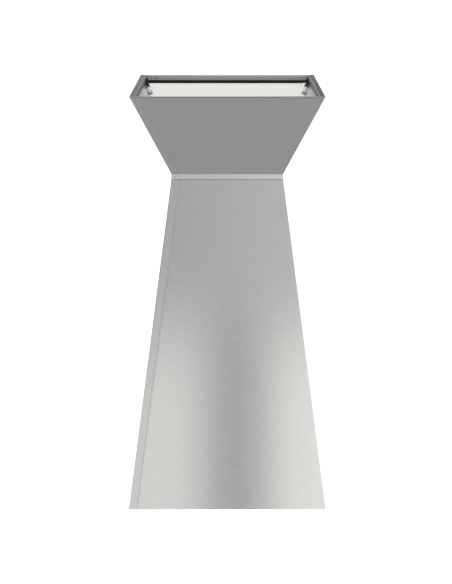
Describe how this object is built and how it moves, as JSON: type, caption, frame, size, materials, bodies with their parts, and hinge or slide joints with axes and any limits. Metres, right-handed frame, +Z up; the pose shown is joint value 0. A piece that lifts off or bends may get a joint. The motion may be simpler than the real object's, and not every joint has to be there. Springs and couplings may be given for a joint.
{
  "type": "island range hood",
  "caption": "Ceiling-hung island range hood: hourglass body of folded stainless sheet round a frame, duct and blower, with hinged grease filters, lamps and push buttons underneath.",
  "frame": {"origin": "centre of the ceiling plane that the rim meets", "axes": "+Z up, +X to the right seen from the front, -Y the front, which has the seam near its left edge and the buttons under it"},
  "size_m": [0.6, 0.6, 1.25],
  "materials": {
    "stainless_sheet": "horizontally brushed, fine grain",
    "blackened_steel": "black oxide, satin",
    "zinc_plated_steel": "bright zinc plate",
    "galvanised_steel": "hot-dip galvanised with spangle",
    "aluminium": "mill finish",
    "motor_paint": "dark satin paint",
    "wheel_plastic": "moulded, matt",
    "nylon": "moulded nylon",
    "frosted_lens": "frosted diffuser",
    "control_glass": "black, polished",
    "box_plastic": "moulded, light grey",
    "button_steel": "turned, fine circular grain"
  },
  "bodies": {
    "hood": {"blower_bracket_left": "zinc_plated_steel", "blower_bracket_right": "zinc_plated_steel", "blower_casing_left": "galvanised_steel", "blower_casing_right": "galvanised_steel", "blower_deck": "galvanised_steel", "blower_motor": "motor_paint", "cable_gland": "nylon", "control_strip": "control_glass", "damper_pin": "zinc_plated_steel", "duct_tube": "aluminium", "hanger_screw_back_left": "zinc_plated_steel", "hanger_screw_back_right": "zinc_plated_steel", "hanger_screw_front_left": "zinc_plated_steel", "hanger_screw_front_right": "zinc_plated_steel", "hanger_strap_back_left": "blackened_steel", "hanger_strap_back_right": "blackened_steel", "hanger_strap_front_left": "blackened_steel", "hanger_strap_front_right": "blackened_steel", "hanging_plate": "galvanised_steel", "inlet_ring_left": "galvanised_steel", "inlet_ring_right": "galvanised_steel", "junction_box": "box_plastic", "lamp_cup_back_left": "stainless_sheet", "lamp_cup_back_right": "stainless_sheet", "lamp_cup_front_left": "stainless_sheet", "lamp_cup_front_right": "stainless_sheet", "lamp_lens_back_left": "frosted_lens", "lamp_lens_back_right": "frosted_lens", "lamp_lens_front_left": "frosted_lens", "lamp_lens_front_right": "frosted_lens", "lower_back_left_panel": "stainless_sheet", "lower_front_right_panel": "stainless_sheet", "motor_capacitor": "aluminium", "motor_spider": "zinc_plated_steel", "outlet_collar": "galvanised_steel", "outlet_transition": "galvanised_steel", "plate_ledge": "stainless_sheet", "post_back_left": "galvanised_steel", "post_back_right": "galvanised_steel", "post_front_left": "galvanised_steel", "post_front_right": "galvanised_steel", "rim_frame": "stainless_sheet", "switch_box": "box_plastic", "underside_plate": "stainless_sheet", "upper_back_left_panel": "stainless_sheet", "upper_front_right_panel": "stainless_sheet", "waist_collar": "stainless_sheet", "waist_sleeve": "galvanised_steel"},
    "wheel": {"blower_wheel": "wheel_plastic", "wheel_shaft": "zinc_plated_steel"},
    "damper_left": {"damper_flap_left": "aluminium"},
    "damper_right": {"damper_flap_right": "aluminium"},
    "filter_left": {"grease_filter_left": "aluminium"},
    "filter_right": {"grease_filter_right": "aluminium"},
    "latch_left": {"filter_latch_left": "zinc_plated_steel"},
    "latch_right": {"filter_latch_right": "zinc_plated_steel"},
    "power_key": {"button_power": "button_steel"},
    "speed_down_key": {"button_speed_down": "button_steel"},
    "speed_up_key": {"button_speed_up": "button_steel"},
    "lamp_key": {"button_lamp": "button_steel"}
  },
  "joints": [
    {"name": "wheel_spin", "type": "hinge", "parent": "hood", "child": "wheel", "pos_m": [0, -0.075, -0.715], "axis": [1, 0, 0], "continuous": true},
    {"name": "damper_left_hinge", "type": "hinge", "parent": "hood", "child": "damper_left", "pos_m": [0, 0, -0.4915], "axis": [0, 1, 0], "range_deg": [0, 72]},
    {"name": "damper_right_hinge", "type": "hinge", "parent": "hood", "child": "damper_right", "pos_m": [0, 0, -0.4915], "axis": [0, -1, 0], "range_deg": [0, 72]},
    {"name": "filter_left_hinge", "type": "hinge", "parent": "hood", "child": "filter_left", "pos_m": [-0.2215, 0, -1.2405], "axis": [0, 1, 0], "range_deg": [0, 80]},
    {"name": "filter_right_hinge", "type": "hinge", "parent": "hood", "child": "filter_right", "pos_m": [0.2215, 0, -1.2405], "axis": [0, -1, 0], "range_deg": [0, 80]},
    {"name": "latch_left_slide", "type": "slide", "parent": "filter_left", "child": "latch_left", "axis": [-1, 0, 0], "range_m": [0, 0.005], "stiffness_N_per_m": 200, "springref_m": -0.004},
    {"name": "latch_right_slide", "type": "slide", "parent": "filter_right", "child": "latch_right", "axis": [1, 0, 0], "range_m": [0, 0.005], "stiffness_N_per_m": 200, "springref_m": -0.004},
    {"name": "power_press", "type": "slide", "parent": "hood", "child": "power_key", "axis": [0, 0, 1], "range_m": [0, 0.002], "stiffness_N_per_m": 400, "springref_m": -0.0015},
    {"name": "speed_down_press", "type": "slide", "parent": "hood", "child": "speed_down_key", "axis": [0, 0, 1], "range_m": [0, 0.002], "stiffness_N_per_m": 400, "springref_m": -0.0015},
    {"name": "speed_up_press", "type": "slide", "parent": "hood", "child": "speed_up_key", "axis": [0, 0, 1], "range_m": [0, 0.002], "stiffness_N_per_m": 400, "springref_m": -0.0015},
    {"name": "lamp_press", "type": "slide", "parent": "hood", "child": "lamp_key", "axis": [0, 0, 1], "range_m": [0, 0.002], "stiffness_N_per_m": 400, "springref_m": -0.0015}
  ],
  "couplings": [
    {"joint": "damper_right_hinge", "follows": "damper_left_hinge", "ratio": 1}
  ]
}
